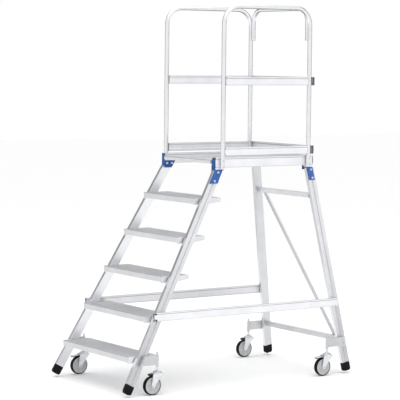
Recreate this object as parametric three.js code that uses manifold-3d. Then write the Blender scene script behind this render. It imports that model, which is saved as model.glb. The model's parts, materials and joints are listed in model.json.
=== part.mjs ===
// Mobile platform steps: five treads and a guarded platform on four sprung swivel casters.
// Millimetres, +Z up. X runs across the steps, the climb goes towards +Y, and the origin is on the floor
// in the middle of the base. The wheels stand on the floor and the four rubber feet hang just above it.

import * as THREE from 'three';
import { mergeVertices } from 'three/addons/utils/BufferGeometryUtils.js';
import Module from 'manifold-3d';

const wasm = await Module();
wasm.setup();

// Driving dimensions.
const GAP = 0.3; // left between pieces that touch
const FOOT_LIFT = 12; // the feet hang this far above the floor until someone steps on
const TREAD_PITCH = 240;
const TREAD_COUNT = 5;
const FIRST_TREAD_Z = 245;
const DECK_Z = FIRST_TREAD_Z + TREAD_COUNT * TREAD_PITCH;

// Main frame: front stringers and rear legs splay outwards towards the floor.
const FLOOR_X = 442; // half the spread of stringers and legs at floor level
const HEAD_X = 295; // and at the height of the platform beams
const HEAD_Z = 1391;
const STRINGER_FLOOR_Y = -888;
const STRINGER_HEAD_Y = -100;
const LEG_FLOOR_Y = 870;
const LEG_HEAD_Y = 633;
const RAIL_DEPTH = 60; // section of stringers and legs
const RAIL_WIDTH = 25;
const RAIL_TOP_Z = 1379; // where the stringers and legs end
const WALL = 2.5;
const GROOVE = 9; // width of the groove along their outer faces
const GROOVE_DEPTH = 5;
const BROAD_GROOVE_DEPTH = 3.5; // of the broad grooves in the beams, boards and side braces

// Platform.
const BEAM_HEIGHT = 66;
const BEAM_BOTTOM_Z = 1396;
const BEAM_WIDTH = 40;
const BEAM_FRONT_Y = -132;
const BEAM_REAR_Y = 653;
const REAR_BEAM_DEPTH = 25;
const DECK_THICKNESS = 24;
const DECK_SKIN = 4;
const DECK_RIBS = 30;
const DECK_WEBS = 7;

// Guard rails.
const POST_X = 330;
const POST_FRONT_Y = -89;
const POST_REAR_Y = 603;
const POST_BOTTOM_Z = 1391;
const TUBE_R = 14;
const TUBE_WALL = 2;
const TUBE_SIDES = 12;
const TOP_RAIL_Z = 2429;
const GUARD_BEND = 115;
const BOW_X = POST_X - 2 * TUBE_R - GAP;
const BOW_BEND = 88;
const BOW_BOTTOM_Z = 2220;
const BOARD_HEIGHT = 54; // section of knee rails and toe boards
const BOARD_WIDTH = 22;
const REAR_BOARD_WIDTH = 16;
const BOARD_RIB = 1; // height of the ribs along the closed face
const KNEE_RAIL_Z = 1952; // middle of the section
const TOE_BOARD_Z = 1500;
const REAR_BOARD_HALF = 345;

// Treads.
const TREAD_DEPTH = 202;
const TREAD_FRONT_Y = -836; // front edge of the lowest tread
const TREAD_RUN = 138.25;
const TREAD_HEIGHT = 37;
const TREAD_RIBS = 11;
const RIB_HEIGHT = 1.5;
const END_PLATE = 3; // plates at the tread's ends, bolted to the stringers
const LUG_DROP = 42; // how far they reach below the tread's top
const LUG_FLANGE = 24; // the front flange of each end plate, across the tread

// Bracing.
const BRACE_Z = 481;
const BRACE_HEIGHT = 55;
const BRACE_WIDTH = 20;
const BRACE_FRONT_Y = -660;
const BRACE_REAR_Y = 800;
const CROSSBAR_HEIGHT = 33;
const CROSSBAR_DEPTH = 20;
const UPPER_CROSSBAR_Z = 1192;
const LOWER_CROSSBAR_Z = 230;

// Casters.
const CASTER_X = 445;
const STEM_FRONT_Y = -653;
const STEM_REAR_Y = 696;
const TRAIL = 38;
const WHEEL_R = 60;
const WHEEL_SIDES = 24;
const WHEEL_Z = WHEEL_R * Math.cos(Math.PI / WHEEL_SIDES);
const TYRE_WIDTH = 32;
const HUB_R = 53;
const PIN_SIDES = 24;
const PIN_R = 6;
const SHANK_R = 6.2;
const COLLAR_R = 12;
const RUNNING = 0.1; // added to a bore's radius so that its flats clear the shaft
const AXLE_R = 5;
const FORK_GAP = 19.3; // half the space between the fork's cheeks
const FORK_PLATE = 3;
const CROWN_Z = 134;
const FORK_TOP_Z = 149;
const GUIDE_BOTTOM_Z = 174;
const GUIDE_TOP_Z = 250;
const GUIDE_R = 10;
const ARM_BOTTOM_Z = 189;
const ARM_TOP_Z = 248;
const ARM_THICKNESS = 25;
const PEDAL_PIN_R = 3;
const PEDAL_PIN_Y = -24;
const PEDAL_PIN_Z = 127;

// Half the spread of the frame at a height, and where the stringers and legs are along the base there.
const spreadAt = (z) => FLOOR_X + ((HEAD_X - FLOOR_X) * z) / HEAD_Z;
const stringerY = (z) => STRINGER_FLOOR_Y + ((STRINGER_HEAD_Y - STRINGER_FLOOR_Y) * z) / HEAD_Z;
const legY = (z) => LEG_FLOOR_Y + ((LEG_HEAD_Y - LEG_FLOOR_Y) * z) / HEAD_Z;
const SPREAD_SLOPE = (FLOOR_X - HEAD_X) / HEAD_Z;

const ALUMINIUM = { color: 0xc9ccd0, roughness: 0.38, metalness: 0.9 };
const STEEL = { color: 0xb4b8bc, roughness: 0.3, metalness: 1 };
const BLUE = { color: 0x2f6ab5, roughness: 0.45, metalness: 0.2 };
const BLACK_RUBBER = { color: 0x17181a, roughness: 0.75, metalness: 0 };
const GREY_PLASTIC = { color: 0xa3a7a9, roughness: 0.5, metalness: 0 };
const BLACK_PLASTIC = { color: 0x202225, roughness: 0.5, metalness: 0 };

const ladder = new THREE.Group();

function add(name, geometry, look, parent = ladder) {
  const mesh = new THREE.Mesh(geometry, new THREE.MeshStandardMaterial(look));
  mesh.name = name;
  parent.add(mesh);
  return mesh;
}

// ---- Shapes ----

function outline(points) {
  return new THREE.Shape(points.map(([x, y]) => new THREE.Vector2(x, y)));
}

function rectangle(x0, y0, x1, y1) {
  return outline([[x0, y0], [x1, y0], [x1, y1], [x0, y1]]);
}

function circle(radius, sides) {
  const step = (2 * Math.PI) / sides;
  const corners = Array.from({ length: sides }, (_, i) => [
    radius * Math.cos((i + 0.5) * step),
    radius * Math.sin((i + 0.5) * step),
  ]);
  return outline(corners);
}

// A closed box section with a groove along the middle of its outer face, at +x.
function groovedSection(width, depth, wall, groove, grooveDepth) {
  const x = width / 2;
  const y = depth / 2;
  const g = groove / 2;
  const floor = x - grooveDepth;
  const section = outline([
    [x, g], [x, y], [-x, y], [-x, -y], [x, -y], [x, -g], [floor, -g], [floor, g],
  ]);
  section.holes.push(outline([
    [x - wall, g + wall], [x - wall, y - wall], [wall - x, y - wall], [wall - x, wall - y],
    [x - wall, wall - y], [x - wall, -g - wall], [floor - wall, -g - wall], [floor - wall, g + wall],
  ]));
  return section;
}

// The section of the guard's boards: a broad groove on the outer face and two ribs along the inner one.
function boardSection(width) {
  const section = groovedSection(width, BOARD_HEIGHT, WALL, BOARD_HEIGHT - 22, BROAD_GROOVE_DEPTH);
  const points = section.getPoints().map((p) => [p.x, p.y]);
  const x = -width / 2;
  const corner = points.findIndex(([px, py]) => px === x && py < 0);
  const ribs = [BOARD_HEIGHT / 4, -BOARD_HEIGHT / 4].flatMap((y) => [
    [x, y + 3], [x - BOARD_RIB, y + 2], [x - BOARD_RIB, y - 2], [x, y - 3],
  ]);
  const ribbed = outline([...points.slice(0, corner), ...ribs, ...points.slice(corner)]);
  ribbed.holes.push(...section.holes);
  return ribbed;
}

// A hollow rectangular section.
function boxSection(width, depth, wall) {
  const section = rectangle(-width / 2, -depth / 2, width / 2, depth / 2);
  const inside = rectangle(wall - width / 2, wall - depth / 2, width / 2 - wall, depth / 2 - wall);
  section.holes.push(inside);
  return section;
}

const solidOptions = (depth) => ({ depth, bevelEnabled: false, steps: 1, curveSegments: 6 });

// Extrudes an outline of (Y, Z) points along X, from x0 to x1.
function alongX(shape, x0, x1) {
  const from = Math.min(x0, x1);
  const geometry = new THREE.ExtrudeGeometry(shape, solidOptions(Math.abs(x1 - x0)));
  const turn = new THREE.Matrix4().makeBasis(
    new THREE.Vector3(0, 1, 0),
    new THREE.Vector3(0, 0, 1),
    new THREE.Vector3(1, 0, 0),
  );
  return geometry.applyMatrix4(turn).translate(from, 0, 0);
}

// Extrudes an outline of (X, Z) points along Y, from y0 to y1.
function alongY(shape, y0, y1) {
  const geometry = new THREE.ExtrudeGeometry(shape, solidOptions(y1 - y0));
  return geometry.rotateX(Math.PI / 2).translate(0, y1, 0);
}

function box(x0, x1, y0, y1, z0, z1) {
  const geometry = new THREE.BoxGeometry(Math.abs(x1 - x0), y1 - y0, z1 - z0);
  return geometry.translate((x0 + x1) / 2, (y0 + y1) / 2, (z0 + z1) / 2);
}

// A turned piece standing on Z, from its (radius, z) profile.
function turned(profile, sides) {
  const points = profile.map(([r, z]) => new THREE.Vector2(r, z));
  return new THREE.LatheGeometry(points, sides, Math.PI / sides).rotateX(Math.PI / 2);
}

function cylinderZ(radius, z0, z1, sides) {
  return turned([[0, z0], [radius, z0], [radius, z1], [0, z1]], sides);
}

function cylinderX(radius, x0, x1, sides) {
  return cylinderZ(radius, x0, x1, sides).rotateY(Math.PI / 2);
}

// ---- Joining and cutting ----

function toSolid(geometry) {
  const bare = geometry.clone();
  bare.deleteAttribute('normal');
  bare.deleteAttribute('uv');
  const merged = mergeVertices(bare, 1e-4);
  return new wasm.Manifold(new wasm.Mesh({
    numProp: 3,
    vertProperties: merged.attributes.position.array,
    triVerts: new Uint32Array(merged.index.array),
  }));
}

function toGeometry(solid) {
  const mesh = solid.getMesh();
  const geometry = new THREE.BufferGeometry();
  geometry.setAttribute('position', new THREE.BufferAttribute(mesh.vertProperties, 3));
  geometry.setIndex(new THREE.BufferAttribute(mesh.triVerts, 1));
  geometry.computeVertexNormals();
  return geometry;
}

function join(...geometries) {
  return toGeometry(geometries.map(toSolid).reduce((all, next) => all.add(next)));
}

function cut(geometry, ...tools) {
  return toGeometry(tools.map(toSolid).reduce((left, tool) => left.subtract(tool), toSolid(geometry)));
}

// ---- Sloping sections ----

// The direction, outward side and depth direction of a stringer or leg. side is +1 or -1 across X.
function slopingAxes(side, floorY, headY) {
  const along = new THREE.Vector3(side * (HEAD_X - FLOOR_X), headY - floorY, HEAD_Z).normalize();
  const out = new THREE.Vector3(side, 0, 0);
  out.addScaledVector(along, -out.dot(along)).normalize();
  const across = new THREE.Vector3().crossVectors(along, out);
  return { along, out, across, floor: new THREE.Vector3(side * FLOOR_X, floorY, 0) };
}

// Runs a section along a sloping axis. Each end is cut level at a height z, or square at a length t.
function sloping(shape, axes, start, end) {
  const geometry = new THREE.ExtrudeGeometry(shape, solidOptions(1));
  const position = geometry.attributes.position;
  const point = new THREE.Vector3();
  for (let i = 0; i < position.count; i += 1) {
    const cutAt = position.getZ(i) > 0.5 ? end : start;
    point.copy(axes.floor);
    point.addScaledVector(axes.out, position.getX(i));
    point.addScaledVector(axes.across, position.getY(i));
    const length = cutAt.t ?? (cutAt.z - point.z) / axes.along.z;
    point.addScaledVector(axes.along, length);
    position.setXYZ(i, point.x, point.y, point.z);
  }
  geometry.computeVertexNormals();
  return geometry;
}

const FOOT_LENGTH = 58; // from the sole to the end of the section
const FOOT_HALF_DEPTH = 29.5;
const FOOT_SOLE_RADIUS = 17;
const PLUG_LENGTH = 30; // the part of the foot inside the section

// A rubber foot with a rounded sole, on a plug that fills the end of a stringer or leg. It is drawn with Z
// along the member from the sole, X outwards and Y across the member's depth.
function footBody() {
  const d = FOOT_HALF_DEPTH;
  const r = FOOT_SOLE_RADIUS;
  const side = [[d, FOOT_LENGTH], [-d, FOOT_LENGTH]];
  for (const [middle, from] of [[r - d, 180], [d - r, 270]]) {
    for (let k = 0; k <= 5; k += 1) {
      const angle = THREE.MathUtils.degToRad(from + k * 18);
      side.push([middle + r * Math.cos(angle), r + r * Math.sin(angle)]);
    }
  }
  const halfWidth = RAIL_WIDTH / 2 + 0.5;
  const plugOut = RAIL_WIDTH / 2 - GROOVE_DEPTH - WALL - GAP;
  const plugIn = RAIL_WIDTH / 2 - WALL - GAP;
  const plugDeep = RAIL_DEPTH / 2 - WALL - GAP;
  return join(
    alongX(outline(side), -halfWidth, halfWidth),
    box(-plugIn, plugOut, -plugDeep, plugDeep, FOOT_LENGTH - 5, FOOT_LENGTH + PLUG_LENGTH),
  );
}

function addSlopingRail(name, footName, side, floorY, headY) {
  const axes = slopingAxes(side, floorY, headY);
  const turn = new THREE.Matrix4().makeBasis(axes.out, axes.across, axes.along);
  const foot = footBody();
  if (turn.determinant() < 0) {
    turn.makeBasis(axes.out, axes.across.clone().negate(), axes.along);
  }
  foot.applyMatrix4(turn);
  foot.computeBoundingBox();
  const start = (FOOT_LIFT - foot.boundingBox.min.z) / axes.along.z;
  foot.translate(...axes.floor.clone().addScaledVector(axes.along, start).toArray());
  add(footName, foot, BLACK_RUBBER);

  const section = groovedSection(RAIL_WIDTH, RAIL_DEPTH, WALL, GROOVE, GROOVE_DEPTH);
  const end = start + FOOT_LENGTH + GAP;
  add(name, sloping(section, axes, { t: end }, { z: RAIL_TOP_Z }), ALUMINIUM);
}

function addMainFrame() {
  for (const [label, side] of [['left', -1], ['right', 1]]) {
    addSlopingRail(`stringer_${label}`, `foot_front_${label}`, side, STRINGER_FLOOR_Y, STRINGER_HEAD_Y);
    addSlopingRail(`rear_leg_${label}`, `foot_rear_${label}`, side, LEG_FLOOR_Y, LEG_HEAD_Y);
  }
}

// ---- Treads ----

// The (Y, Z) section of a ribbed plate with a skirt at each edge. y and z run from its front top corner.
function treadSection() {
  const top = [];
  const pitch = (TREAD_DEPTH - 12) / TREAD_RIBS;
  for (let i = 0; i < TREAD_RIBS; i += 1) {
    const y = 6 + i * pitch;
    top.push([y, 0], [y + 0.55 * pitch, 0], [y + 0.6 * pitch, -RIB_HEIGHT], [y + 0.95 * pitch, -RIB_HEIGHT]);
  }
  const under = -RIB_HEIGHT - WALL;
  return outline([
    [TREAD_DEPTH, -4], [TREAD_DEPTH, 8 - TREAD_HEIGHT],
    [TREAD_DEPTH - WALL, 8 - TREAD_HEIGHT], [TREAD_DEPTH - WALL, under],
    [WALL, under], [WALL, WALL - TREAD_HEIGHT], [12, WALL - TREAD_HEIGHT], [12, -TREAD_HEIGHT],
    [0, -TREAD_HEIGHT], [0, -4], [2, -1.2],
    ...top,
    [TREAD_DEPTH - 2, -1.2],
  ]);
}

function addTreads() {
  for (let step = 0; step < TREAD_COUNT; step += 1) {
    const z = FIRST_TREAD_Z + step * TREAD_PITCH;
    const frontY = TREAD_FRONT_Y + step * TREAD_RUN;
    const half = spreadAt(z) - RAIL_WIDTH / 2 - 2.4;
    const plank = alongX(treadSection(), -half, half);
    const lug = outline([
      [1, -LUG_DROP], [84, -LUG_DROP],
      [TREAD_DEPTH - 2, -TREAD_HEIGHT + 9], [TREAD_DEPTH - 2, -3], [1, -3],
    ]);
    const ends = [-1, 1].flatMap((side) => [
      alongX(lug, side * (half - END_PLATE), side * half),
      box(side * (half - LUG_FLANGE), side * half, 1, 1 + END_PLATE, -LUG_DROP, -10),
    ]);
    const tread = add(`tread_${step + 1}`, join(plank, ...ends), ALUMINIUM);
    tread.position.set(0, frontY, z);
  }
}

// ---- Platform ----

const BRIDGE_Z = RAIL_TOP_Z + GAP; // underside of the corner brackets' bridge plates
const BRIDGE_TOP_Z = BRIDGE_Z + 4.4;
const FRONT_BRACKET_REAR = stringerY(HEAD_Z) + 32;
const REAR_BRACKET_FRONT = legY(HEAD_Z) - 36;

function addPlatform() {
  const outerX = POST_X - TUBE_R - GAP;
  const innerX = outerX - BEAM_WIDTH;
  const middleZ = BEAM_BOTTOM_Z + BEAM_HEIGHT / 2;
  const section = groovedSection(BEAM_WIDTH, BEAM_HEIGHT, WALL, BEAM_HEIGHT - 24, BROAD_GROOVE_DEPTH);
  for (const [label, side] of [['left', -1], ['right', 1]]) {
    // Each beam stands on its two brackets with a pad under either end.
    const beam = alongY(section, 0, BEAM_REAR_Y - BEAM_FRONT_Y);
    if (side < 0) beam.rotateZ(Math.PI).translate(0, BEAM_REAR_Y - BEAM_FRONT_Y, 0);
    beam.translate(side * (innerX + BEAM_WIDTH / 2), BEAM_FRONT_Y, middleZ);
    const pads = [[BEAM_FRONT_Y, FRONT_BRACKET_REAR - 4], [REAR_BRACKET_FRONT + 4, BEAM_REAR_Y]].map(
      ([y0, y1]) => box(
        side * (innerX + 4), side * (outerX - 4), y0, y1, BRIDGE_TOP_Z + GAP, BEAM_BOTTOM_Z + WALL,
      ),
    );
    add(`platform_beam_${label}`, join(beam, ...pads), ALUMINIUM);
  }

  const rearY = BEAM_REAR_Y - REAR_BEAM_DEPTH;
  const channel = outline([
    [rearY, BEAM_BOTTOM_Z], [BEAM_REAR_Y, BEAM_BOTTOM_Z], [BEAM_REAR_Y, BEAM_BOTTOM_Z + WALL],
    [rearY + WALL, BEAM_BOTTOM_Z + WALL], [rearY + WALL, BEAM_BOTTOM_Z + BEAM_HEIGHT - WALL],
    [BEAM_REAR_Y, BEAM_BOTTOM_Z + BEAM_HEIGHT - WALL], [BEAM_REAR_Y, BEAM_BOTTOM_Z + BEAM_HEIGHT],
    [rearY, BEAM_BOTTOM_Z + BEAM_HEIGHT],
  ]);
  add('platform_beam_rear', alongX(channel, GAP - innerX, innerX - GAP), ALUMINIUM);

  const deckHalf = innerX - GAP;
  add('deck_panel', alongX(deckSection(BEAM_FRONT_Y, rearY - GAP), -deckHalf, deckHalf), ALUMINIUM);

  const bottom = DECK_Z - DECK_THICKNESS;
  const nose = BEAM_FRONT_Y - GAP;
  const nosing = outline([
    [nose, bottom], [nose, DECK_Z + 2], [nose - 7, DECK_Z + 2], [nose - 10, DECK_Z - 1],
    [nose - 11, DECK_Z - 6], [nose - 11, bottom],
  ]);
  const noseHalf = innerX - 6;
  add('deck_nosing', alongX(nosing, -noseHalf, noseHalf), ALUMINIUM);
}

// The (Y, Z) section of the deck: a ribbed skin over webs that run from beam to beam.
function deckSection(frontY, rearY) {
  const length = rearY - frontY;
  const pitch = length / DECK_RIBS;
  const bottom = DECK_Z - DECK_THICKNESS;
  const skin = DECK_Z - RIB_HEIGHT - DECK_SKIN;
  const top = [];
  for (let i = 0; i < DECK_RIBS; i += 1) {
    const y = frontY + i * pitch;
    top.push([y, DECK_Z], [y + 0.5 * pitch, DECK_Z]);
    top.push([y + 0.55 * pitch, DECK_Z - RIB_HEIGHT], [y + 0.95 * pitch, DECK_Z - RIB_HEIGHT]);
  }
  top.push([rearY, DECK_Z]);
  const under = [];
  for (let i = DECK_WEBS; i >= 0; i -= 1) {
    const y = frontY + (i * (length - WALL)) / DECK_WEBS;
    const web = [[y + WALL, skin], [y + WALL, bottom], [y, bottom], [y, skin]];
    if (i === DECK_WEBS) web.shift();
    if (i === 0) web.pop();
    under.push(...web);
  }
  return outline([...top, ...under]);
}

// ---- Corner brackets ----

const BRACKET_SKIN = 4;
const OUTER_CHEEK_Z = 1296;
const INNER_CHEEK_Z = 1366;
const INNER_CHEEK_TOP_Z = 1414;
const CAP_TOP_Z = 1454;

const CAP_INNER_X = 276;
const CAP_OUTER_X = 308;

// Each bracket is a bridge plate between a platform beam and the head of a stringer or leg, with an outer
// cheek on the stringer or leg and an inner cheek on the beam. The front ones also cap the beam's end.
function addBrackets() {
  const innerX = POST_X - TUBE_R - GAP - BEAM_WIDTH - GAP;
  const outerX = HEAD_X + RAIL_WIDTH / 2 + 2.2;
  const frontY = BEAM_FRONT_Y - GAP - BRACKET_SKIN;

  for (const [label, side] of [['left', -1], ['right', 1]]) {
    // The outer cheek is sheared sideways, because the stringer or leg under it leans outwards.
    const lean = new THREE.Matrix4().makeShear(0, 0, 0, 0, -side * SPREAD_SLOPE, 0);
    const outerCheek = (points) => alongX(outline(points), side * outerX, side * (outerX + BRACKET_SKIN))
      .translate(0, 0, -HEAD_Z).applyMatrix4(lean).translate(0, 0, HEAD_Z);
    const innerCheek = (points) => alongX(outline(points), side * (innerX - BRACKET_SKIN), side * innerX);
    const bridge = (y0, y1) => box(
      side * (innerX - BRACKET_SKIN), side * (outerX + BRACKET_SKIN), y0, y1, BRIDGE_Z, BRIDGE_TOP_Z,
    );

    const stringerRear = FRONT_BRACKET_REAR;
    const cap = box(
      side * CAP_INNER_X, side * CAP_OUTER_X, frontY, frontY + BRACKET_SKIN, BRIDGE_Z, CAP_TOP_Z,
    );
    add(`corner_bracket_front_${label}`, join(
      bridge(frontY, stringerRear),
      cap,
      outerCheek([
        [stringerY(OUTER_CHEEK_Z) - 31, OUTER_CHEEK_Z], [stringerY(OUTER_CHEEK_Z) + 33, OUTER_CHEEK_Z],
        [stringerRear - 8, BRIDGE_TOP_Z], [frontY + 2, BRIDGE_TOP_Z],
      ]),
      innerCheek([
        [frontY, INNER_CHEEK_Z], [stringerRear - 14, INNER_CHEEK_Z],
        [stringerRear + 16, INNER_CHEEK_TOP_Z], [frontY, INNER_CHEEK_TOP_Z],
      ]),
    ), BLUE);

    const legRear = legY(HEAD_Z) + 20;
    const legFront = REAR_BRACKET_FRONT;
    const beamRearFace = BEAM_REAR_Y - REAR_BEAM_DEPTH - 1;
    add(`corner_bracket_rear_${label}`, join(
      bridge(legFront, legRear),
      outerCheek([
        [legY(OUTER_CHEEK_Z) - 26, OUTER_CHEEK_Z], [legY(OUTER_CHEEK_Z) + 20, OUTER_CHEEK_Z],
        [legRear, BRIDGE_TOP_Z], [legFront + 12, BRIDGE_TOP_Z],
      ]),
      innerCheek([
        [legFront, INNER_CHEEK_Z], [beamRearFace, INNER_CHEEK_Z],
        [beamRearFace, INNER_CHEEK_TOP_Z], [legFront, INNER_CHEEK_TOP_Z],
      ]),
    ), BLUE);
  }
}

// ---- Guard rails ----

// A planar path of straight runs and round bends, with stations only where the shape needs them.
class BentPath extends THREE.Curve {
  constructor(corners, radius, bendSteps) {
    super();
    this.points = [corners[0]];
    this.directions = [corners[1].clone().sub(corners[0]).normalize()];
    for (let i = 1; i < corners.length - 1; i += 1) {
      const incoming = corners[i].clone().sub(corners[i - 1]).normalize();
      const outgoing = corners[i + 1].clone().sub(corners[i]).normalize();
      const centre = corners[i].clone().addScaledVector(incoming, -radius).addScaledVector(outgoing, radius);
      for (let k = 0; k <= bendSteps; k += 1) {
        const angle = (k / bendSteps) * (Math.PI / 2);
        this.points.push(centre.clone()
          .addScaledVector(outgoing, -radius * Math.cos(angle))
          .addScaledVector(incoming, radius * Math.sin(angle)));
        this.directions.push(incoming.clone().multiplyScalar(Math.cos(angle))
          .addScaledVector(outgoing, Math.sin(angle)));
      }
    }
    const last = corners.length - 1;
    this.points.push(corners[last]);
    this.directions.push(corners[last].clone().sub(corners[last - 1]).normalize());
  }

  get steps() {
    return this.points.length - 1;
  }

  getPointAt(u, target = new THREE.Vector3()) {
    return target.copy(this.points[Math.round(u * this.steps)]);
  }

  getTangentAt(u, target = new THREE.Vector3()) {
    return target.copy(this.directions[Math.round(u * this.steps)]);
  }
}

function bentTube(corners, radius) {
  const flats = Math.cos(Math.PI / TUBE_SIDES);
  const section = circle(TUBE_R / flats, TUBE_SIDES);
  section.holes.push(circle(TUBE_R / flats - TUBE_WALL, TUBE_SIDES));
  const path = new BentPath(corners.map((c) => new THREE.Vector3(...c)), radius, 7);
  return new THREE.ExtrudeGeometry(section, { steps: path.steps, extrudePath: path, bevelEnabled: false });
}

function addGuardRails() {
  const sideFrom = POST_FRONT_Y + TUBE_R + GAP;
  const sideTo = POST_REAR_Y - TUBE_R - GAP;
  for (const [label, side] of [['left', -1], ['right', 1]]) {
    const x = side * POST_X;
    add(`guard_frame_${label}`, bentTube([
      [x, POST_FRONT_Y, POST_BOTTOM_Z], [x, POST_FRONT_Y, TOP_RAIL_Z],
      [x, POST_REAR_Y, TOP_RAIL_Z], [x, POST_REAR_Y, POST_BOTTOM_Z],
    ], GUARD_BEND), ALUMINIUM);
    for (const [board, z] of [['knee_rail', KNEE_RAIL_Z], ['toe_board', TOE_BOARD_Z]]) {
      const mesh = add(`${board}_${label}`, alongY(boardSection(BOARD_WIDTH), sideFrom, sideTo), ALUMINIUM);
      mesh.position.set(x, side < 0 ? sideFrom + sideTo : 0, z);
      mesh.rotation.z = side < 0 ? Math.PI : 0;
    }
  }

  add('guard_bow_rear', bentTube([
    [-BOW_X, POST_REAR_Y, BOW_BOTTOM_Z], [-BOW_X, POST_REAR_Y, TOP_RAIL_Z],
    [BOW_X, POST_REAR_Y, TOP_RAIL_Z], [BOW_X, POST_REAR_Y, BOW_BOTTOM_Z],
  ], BOW_BEND), ALUMINIUM);

  const rearMiddle = POST_REAR_Y + TUBE_R + GAP + BOARD_RIB + REAR_BOARD_WIDTH / 2;
  const rearSection = boardSection(REAR_BOARD_WIDTH);
  for (const [board, z] of [['knee_rail', KNEE_RAIL_Z], ['toe_board', TOE_BOARD_Z]]) {
    const mesh = add(`${board}_rear`, alongY(rearSection, -REAR_BOARD_HALF, REAR_BOARD_HALF), ALUMINIUM);
    mesh.position.set(0, rearMiddle, z);
    mesh.rotation.z = Math.PI / 2;
  }
}

// ---- Bracing ----

function addBracing() {
  const tilt = Math.atan(SPREAD_SLOPE);
  const outX = spreadAt(BRACE_Z) + (RAIL_WIDTH / 2) / Math.cos(tilt) + 2.2 + BRACE_WIDTH / 2;
  const section = groovedSection(BRACE_WIDTH, BRACE_HEIGHT, WALL, BRACE_HEIGHT - 24, BROAD_GROOVE_DEPTH);
  for (const [label, side] of [['left', -1], ['right', 1]]) {
    const turn = side < 0 ? Math.PI : 0;
    const from = side < 0 ? -BRACE_REAR_Y : BRACE_FRONT_Y;
    const to = side < 0 ? -BRACE_FRONT_Y : BRACE_REAR_Y;
    const brace = alongY(section, from, to).rotateZ(turn).rotateY(-side * tilt);
    add(`side_brace_${label}`, brace, ALUMINIUM).position.set(side * outX, 0, BRACE_Z);
  }

  const lean = Math.atan((LEG_FLOOR_Y - LEG_HEAD_Y) / HEAD_Z);
  for (const [label, z] of [['upper', UPPER_CROSSBAR_Z], ['lower', LOWER_CROSSBAR_Z]]) {
    const half = spreadAt(z + CROSSBAR_HEIGHT / 2) - RAIL_WIDTH / 2 - 1.2;
    const tube = boxSection(CROSSBAR_DEPTH, CROSSBAR_HEIGHT, WALL);
    const bar = add(`rear_crossbar_${label}`, alongX(tube, -half, half), ALUMINIUM);
    bar.position.set(0, legY(z), z);
    bar.rotation.x = lean;
  }

  // The diagonal is bolted behind both crossbars, in the plane of the rear legs.
  const top = new THREE.Vector3(-268, legY(UPPER_CROSSBAR_Z), UPPER_CROSSBAR_Z);
  const bottom = new THREE.Vector3(346, legY(LOWER_CROSSBAR_Z), LOWER_CROSSBAR_Z);
  const along = bottom.clone().sub(top);
  const length = along.length();
  along.normalize();
  const back = new THREE.Vector3(0, Math.cos(lean), Math.sin(lean));
  const wide = new THREE.Vector3().crossVectors(back, along);
  const stand = CROSSBAR_DEPTH / 2 + 1 + 6;
  const diagonal = new THREE.ExtrudeGeometry(boxSection(22, 12, 2), solidOptions(length));
  diagonal.applyMatrix4(new THREE.Matrix4().makeBasis(wide, back, along));
  add('rear_diagonal', diagonal, ALUMINIUM).position.copy(top).addScaledVector(back, stand);
}

// ---- Casters ----

// The arm is a plate on the outer face of the stringer or leg, with a guide tube for the sprung spindle.
function casterArm(front, side) {
  const railY = front ? stringerY : legY;
  const stemY = front ? STEM_FRONT_Y : STEM_REAR_Y;
  const reach = front ? -4 : 10;
  const middleZ = (ARM_BOTTOM_Z + ARM_TOP_Z) / 2;
  const plate = outline([
    [railY(ARM_BOTTOM_Z) + reach - stemY, ARM_BOTTOM_Z - middleZ], [0, ARM_BOTTOM_Z - middleZ],
    [0, ARM_TOP_Z - middleZ], [railY(ARM_TOP_Z) + reach - stemY, ARM_TOP_Z - middleZ],
  ]);
  const lean = new THREE.Matrix4().makeShear(0, 0, 0, 0, -side * SPREAD_SLOPE, 0);
  const body = alongX(plate, -ARM_THICKNESS / 2, ARM_THICKNESS / 2).applyMatrix4(lean);
  const tube = cylinderZ(GUIDE_R, GUIDE_BOTTOM_Z, GUIDE_TOP_Z, PIN_SIDES);
  const bore = cylinderZ(PIN_R + RUNNING, GUIDE_BOTTOM_Z - 5, GUIDE_TOP_Z + 5, PIN_SIDES);
  return cut(join(body.translate(0, 0, middleZ), tube), bore);
}

// The spindle slides up the guide tube against its spring. Its nut and cap hold the fork between them.
function casterSpindle() {
  return turned([
    [0, CROWN_Z - 7], [9, CROWN_Z - 7], [9, CROWN_Z - 0.5], [SHANK_R, CROWN_Z - 0.5],
    [SHANK_R, FORK_TOP_Z + 0.4], [COLLAR_R, FORK_TOP_Z + 0.4],
    [COLLAR_R, FORK_TOP_Z + 6], [PIN_R, FORK_TOP_Z + 6],
    [PIN_R, GUIDE_TOP_Z + 12], [2, GUIDE_TOP_Z + 20], [0, GUIDE_TOP_Z + 20],
  ], PIN_SIDES);
}

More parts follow.
